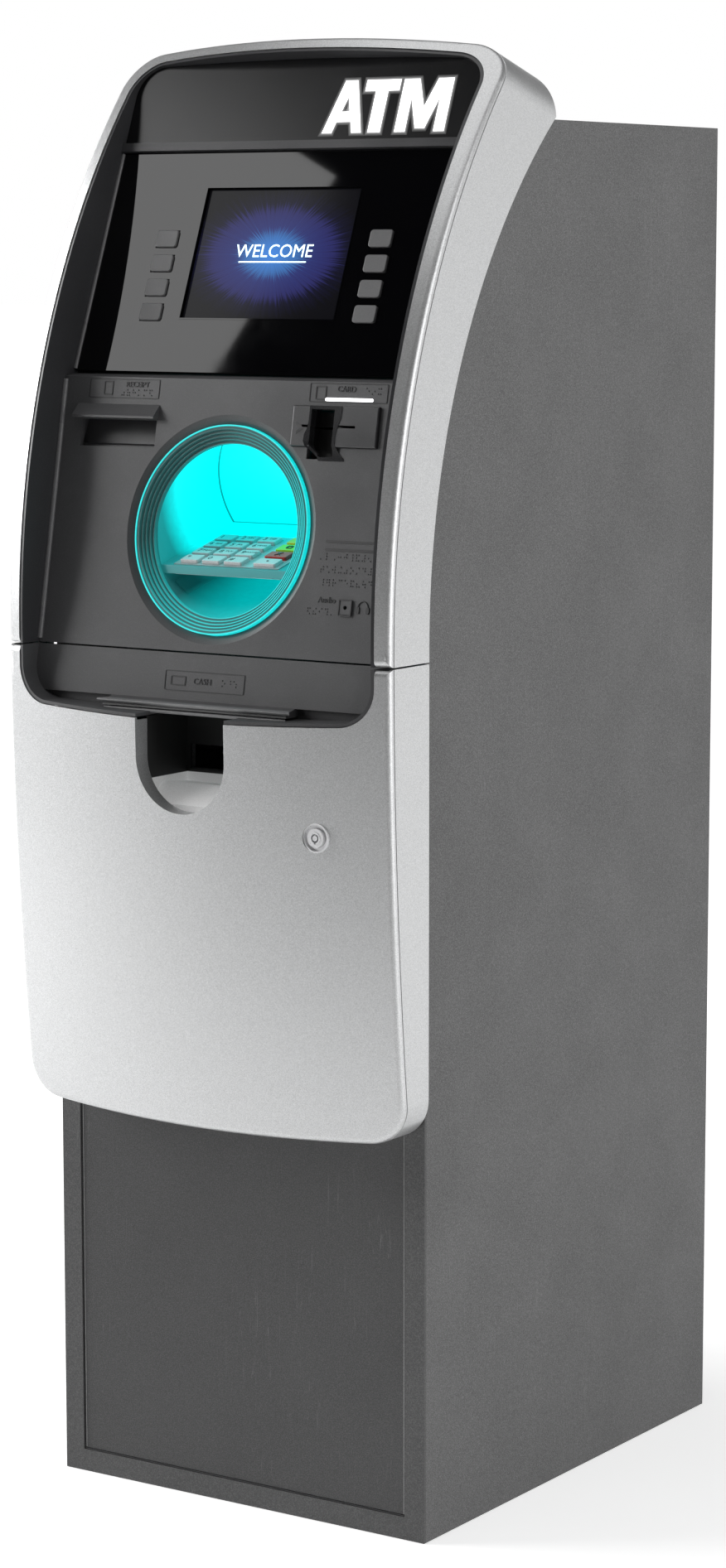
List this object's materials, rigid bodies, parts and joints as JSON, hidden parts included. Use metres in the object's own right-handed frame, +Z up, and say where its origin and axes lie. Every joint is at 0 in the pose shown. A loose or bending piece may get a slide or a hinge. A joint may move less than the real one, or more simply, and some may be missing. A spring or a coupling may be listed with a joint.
{
  "type": "atm machine",
  "caption": "Free-standing cash machine: dark steel cabinet, curved silver fascia, tilted screen with side keys, round lit keypad pocket, card, receipt and cash outlets.",
  "frame": {"origin": "centre of the four floor anchor holes, on the underside of the base plate", "axes": "+Z up; the user stands on the -Y side; +X is to the right as the user sees the machine"},
  "size_m": [0.4105, 0.5855, 1.3027],
  "materials": {
    "cabinet_paint": "fine-textured powder coat",
    "frame_paint": "fine-textured powder coat",
    "silver_plastic": "silver metallic paint on moulded plastic, satin",
    "charcoal_plastic": "fine-grained moulded plastic",
    "screen_black": "gloss",
    "sign_white": "lit from behind",
    "lcd_glass": "gloss",
    "light_guide": "satin light guide",
    "pocket_plastic": "satin",
    "pad_metal": "satin",
    "pin_key": "satin metallic",
    "soft_key": "satin",
    "reader_plastic": "semi-gloss",
    "printer_black": "satin",
    "paper": "uncoated",
    "lock_chrome": "satin",
    "hinge_steel": "brushed",
    "zinc_steel": "zinc plated",
    "cassette_plastic": "satin",
    "roller_rubber": "matt",
    "dial_black": "satin black"
  },
  "bodies": {
    "cabinet": {"cabinet_shell": "cabinet_paint", "rear_panel": "cabinet_paint", "base_plate": "cabinet_paint", "front_frame": "frame_paint", "vault_shelf": "zinc_steel", "power_supply": "zinc_steel", "control_computer": "zinc_steel", "dispenser_frame": "zinc_steel", "door_hinge": "hinge_steel", "hood_hinge": "hinge_steel"},
    "hood": {"hood_shell": "silver_plastic", "upper_bezel": "charcoal_plastic", "sign_panel": "screen_black", "sign_letters": "sign_white", "screen_panel": "screen_black", "lcd_module": "lcd_glass", "control_panel": "charcoal_plastic", "light_ring": "light_guide", "keypad_housing": "pocket_plastic", "pin_pad": "pad_metal", "card_reader": "reader_plastic", "receipt_printer": "printer_black"},
    "vault_door": {"vault_door": "frame_paint"},
    "lower_fascia": {"lower_fascia": "silver_plastic", "lower_bezel": "charcoal_plastic", "cash_tray": "charcoal_plastic", "lock_housing": "lock_chrome"},
    "vault_handle": {"vault_handle": "hinge_steel"},
    "lock_bolts": {"lock_bolts": "hinge_steel"},
    "combination_dial": {"combination_dial": "dial_black"},
    "lock_rotor": {"lock_rotor": "lock_chrome"},
    "cash_cassette": {"cash_cassette": "cassette_plastic"},
    "feed_roller": {"feed_roller": "roller_rubber"},
    "exit_roller": {"exit_roller": "roller_rubber"},
    "platen_roller": {"platen_roller": "roller_rubber"},
    "paper_roll": {"paper_roll": "paper"},
    "function_key_left_1": {"function_key_left_1": "soft_key"},
    "function_key_left_2": {"function_key_left_2": "soft_key"},
    "function_key_left_3": {"function_key_left_3": "soft_key"},
    "function_key_left_4": {"function_key_left_4": "soft_key"},
    "function_key_right_1": {"function_key_right_1": "soft_key"},
    "function_key_right_2": {"function_key_right_2": "soft_key"},
    "function_key_right_3": {"function_key_right_3": "soft_key"},
    "function_key_right_4": {"function_key_right_4": "soft_key"},
    "pin_key_r1_c1": {"pin_key_r1_c1": "pin_key"},
    "pin_key_r1_c2": {"pin_key_r1_c2": "pin_key"},
    "pin_key_r1_c3": {"pin_key_r1_c3": "pin_key"},
    "pin_key_r1_c4": {"pin_key_r1_c4": "pin_key"},
    "pin_key_r2_c1": {"pin_key_r2_c1": "pin_key"},
    "pin_key_r2_c2": {"pin_key_r2_c2": "pin_key"},
    "pin_key_r2_c3": {"pin_key_r2_c3": "pin_key"},
    "pin_key_r2_c4": {"pin_key_r2_c4": "pin_key"},
    "pin_key_r3_c1": {"pin_key_r3_c1": "pin_key"},
    "pin_key_r3_c2": {"pin_key_r3_c2": "pin_key"},
    "pin_key_r3_c3": {"pin_key_r3_c3": "pin_key"},
    "pin_key_r3_c4": {"pin_key_r3_c4": "pin_key"},
    "pin_key_r4_c1": {"pin_key_r4_c1": "pin_key"},
    "pin_key_r4_c2": {"pin_key_r4_c2": "pin_key"},
    "pin_key_r4_c3": {"pin_key_r4_c3": "pin_key"},
    "pin_key_r4_c4": {"pin_key_r4_c4": "pin_key"}
  },
  "joints": [
    {"name": "hood_lift", "type": "hinge", "parent": "cabinet", "child": "hood", "pos_m": [0, -0.06, 1.246], "axis": [-1, 0, 0], "range_deg": [0, 60]},
    {"name": "vault_door_swing", "type": "hinge", "parent": "cabinet", "child": "vault_door", "pos_m": [-0.203, -0.246, 0.3], "axis": [0, 0, -1], "range_deg": [0, 90]},
    {"name": "lower_fascia_swing", "type": "hinge", "parent": "vault_door", "child": "lower_fascia", "pos_m": [-0.203, -0.246, 0.6], "axis": [0, 0, -1], "range_deg": [0, 90]},
    {"name": "vault_handle_turn", "type": "hinge", "parent": "vault_door", "child": "vault_handle", "pos_m": [0.09, -0.285, 0.478], "axis": [0, 1, 0], "range_deg": [0, 90]},
    {"name": "lock_bolts_throw", "type": "slide", "parent": "vault_door", "child": "lock_bolts", "axis": [1, 0, 0], "range_m": [0, 0.018]},
    {"name": "combination_dial_turn", "type": "hinge", "parent": "vault_door", "child": "combination_dial", "pos_m": [0.09, -0.26, 0.54], "axis": [0, -1, 0], "continuous": true},
    {"name": "lock_rotor_turn", "type": "hinge", "parent": "lower_fascia", "child": "lock_rotor", "pos_m": [0.1344, -0.31, 0.6277], "axis": [0, -1, 0], "range_deg": [0, 90]},
    {"name": "cassette_draw", "type": "slide", "parent": "cabinet", "child": "cash_cassette", "axis": [0, -1, 0], "range_m": [0, 0.03]},
    {"name": "feed_roller_spin", "type": "hinge", "parent": "cabinet", "child": "feed_roller", "pos_m": [0, -0.21, 0.6647], "axis": [1, 0, 0], "continuous": true},
    {"name": "exit_roller_spin", "type": "hinge", "parent": "cabinet", "child": "exit_roller", "pos_m": [0, -0.21, 0.6913], "axis": [1, 0, 0], "continuous": true},
    {"name": "platen_roller_spin", "type": "hinge", "parent": "hood", "child": "platen_roller", "pos_m": [-0.12, -0.23088, 0.95283], "axis": [1, 0, 0], "continuous": true},
    {"name": "paper_roll_spin", "type": "hinge", "parent": "hood", "child": "paper_roll", "pos_m": [-0.12, -0.16637, 0.96641], "axis": [1, 0, 0], "continuous": true},
    {"name": "function_key_left_1_press", "type": "slide", "parent": "hood", "child": "function_key_left_1", "axis": [0, 0.9317, -0.3633], "range_m": [0, 0.0015], "stiffness_N_per_m": 400, "springref_m": -0.0008},
    {"name": "function_key_left_2_press", "type": "slide", "parent": "hood", "child": "function_key_left_2", "axis": [0, 0.9317, -0.3633], "range_m": [0, 0.0015], "stiffness_N_per_m": 400, "springref_m": -0.0008},
    {"name": "function_key_left_3_press", "type": "slide", "parent": "hood", "child": "function_key_left_3", "axis": [0, 0.9317, -0.3633], "range_m": [0, 0.0015], "stiffness_N_per_m": 400, "springref_m": -0.0008},
    {"name": "function_key_left_4_press", "type": "slide", "parent": "hood", "child": "function_key_left_4", "axis": [0, 0.9317, -0.3633], "range_m": [0, 0.0015], "stiffness_N_per_m": 400, "springref_m": -0.0008},
    {"name": "function_key_right_1_press", "type": "slide", "parent": "hood", "child": "function_key_right_1", "axis": [0, 0.9317, -0.3633], "range_m": [0, 0.0015], "stiffness_N_per_m": 400, "springref_m": -0.0008},
    {"name": "function_key_right_2_press", "type": "slide", "parent": "hood", "child": "function_key_right_2", "axis": [0, 0.9317, -0.3633], "range_m": [0, 0.0015], "stiffness_N_per_m": 400, "springref_m": -0.0008},
    {"name": "function_key_right_3_press", "type": "slide", "parent": "hood", "child": "function_key_right_3", "axis": [0, 0.9317, -0.3633], "range_m": [0, 0.0015], "stiffness_N_per_m": 400, "springref_m": -0.0008},
    {"name": "function_key_right_4_press", "type": "slide", "parent": "hood", "child": "function_key_right_4", "axis": [0, 0.9317, -0.3633], "range_m": [0, 0.0015], "stiffness_N_per_m": 400, "springref_m": -0.0008},
    {"name": "pin_key_r1_c1_press", "type": "slide", "parent": "hood", "child": "pin_key_r1_c1", "axis": [0, 0.2756, -0.9613], "range_m": [0, 0.0015], "stiffness_N_per_m": 500, "springref_m": -0.0008},
    {"name": "pin_key_r1_c2_press", "type": "slide", "parent": "hood", "child": "pin_key_r1_c2", "axis": [0, 0.2756, -0.9613], "range_m": [0, 0.0015], "stiffness_N_per_m": 500, "springref_m": -0.0008},
    {"name": "pin_key_r1_c3_press", "type": "slide", "parent": "hood", "child": "pin_key_r1_c3", "axis": [0, 0.2756, -0.9613], "range_m": [0, 0.0015], "stiffness_N_per_m": 500, "springref_m": -0.0008},
    {"name": "pin_key_r1_c4_press", "type": "slide", "parent": "hood", "child": "pin_key_r1_c4", "axis": [0, 0.2756, -0.9613], "range_m": [0, 0.0015], "stiffness_N_per_m": 500, "springref_m": -0.0008},
    {"name": "pin_key_r2_c1_press", "type": "slide", "parent": "hood", "child": "pin_key_r2_c1", "axis": [0, 0.2756, -0.9613], "range_m": [0, 0.0015], "stiffness_N_per_m": 500, "springref_m": -0.0008},
    {"name": "pin_key_r2_c2_press", "type": "slide", "parent": "hood", "child": "pin_key_r2_c2", "axis": [0, 0.2756, -0.9613], "range_m": [0, 0.0015], "stiffness_N_per_m": 500, "springref_m": -0.0008},
    {"name": "pin_key_r2_c3_press", "type": "slide", "parent": "hood", "child": "pin_key_r2_c3", "axis": [0, 0.2756, -0.9613], "range_m": [0, 0.0015], "stiffness_N_per_m": 500, "springref_m": -0.0008},
    {"name": "pin_key_r2_c4_press", "type": "slide", "parent": "hood", "child": "pin_key_r2_c4", "axis": [0, 0.2756, -0.9613], "range_m": [0, 0.0015], "stiffness_N_per_m": 500, "springref_m": -0.0008},
    {"name": "pin_key_r3_c1_press", "type": "slide", "parent": "hood", "child": "pin_key_r3_c1", "axis": [0, 0.2756, -0.9613], "range_m": [0, 0.0015], "stiffness_N_per_m": 500, "springref_m": -0.0008},
    {"name": "pin_key_r3_c2_press", "type": "slide", "parent": "hood", "child": "pin_key_r3_c2", "axis": [0, 0.2756, -0.9613], "range_m": [0, 0.0015], "stiffness_N_per_m": 500, "springref_m": -0.0008},
    {"name": "pin_key_r3_c3_press", "type": "slide", "parent": "hood", "child": "pin_key_r3_c3", "axis": [0, 0.2756, -0.9613], "range_m": [0, 0.0015], "stiffness_N_per_m": 500, "springref_m": -0.0008},
    {"name": "pin_key_r3_c4_press", "type": "slide", "parent": "hood", "child": "pin_key_r3_c4", "axis": [0, 0.2756, -0.9613], "range_m": [0, 0.0015], "stiffness_N_per_m": 500, "springref_m": -0.0008},
    {"name": "pin_key_r4_c1_press", "type": "slide", "parent": "hood", "child": "pin_key_r4_c1", "axis": [0, 0.2756, -0.9613], "range_m": [0, 0.0015], "stiffness_N_per_m": 500, "springref_m": -0.0008},
    {"name": "pin_key_r4_c2_press", "type": "slide", "parent": "hood", "child": "pin_key_r4_c2", "axis": [0, 0.2756, -0.9613], "range_m": [0, 0.0015], "stiffness_N_per_m": 500, "springref_m": -0.0008},
    {"name": "pin_key_r4_c3_press", "type": "slide", "parent": "hood", "child": "pin_key_r4_c3", "axis": [0, 0.2756, -0.9613], "range_m": [0, 0.0015], "stiffness_N_per_m": 500, "springref_m": -0.0008},
    {"name": "pin_key_r4_c4_press", "type": "slide", "parent": "hood", "child": "pin_key_r4_c4", "axis": [0, 0.2756, -0.9613], "range_m": [0, 0.0015], "stiffness_N_per_m": 500, "springref_m": -0.0008}
  ],
  "couplings": [
    {"joint": "lock_bolts_throw", "follows": "vault_handle_turn", "m_per_rad": 0.011459},
    {"joint": "exit_roller_spin", "follows": "feed_roller_spin", "ratio": -1},
    {"joint": "paper_roll_spin", "follows": "platen_roller_spin", "ratio": -0.20588}
  ]
}
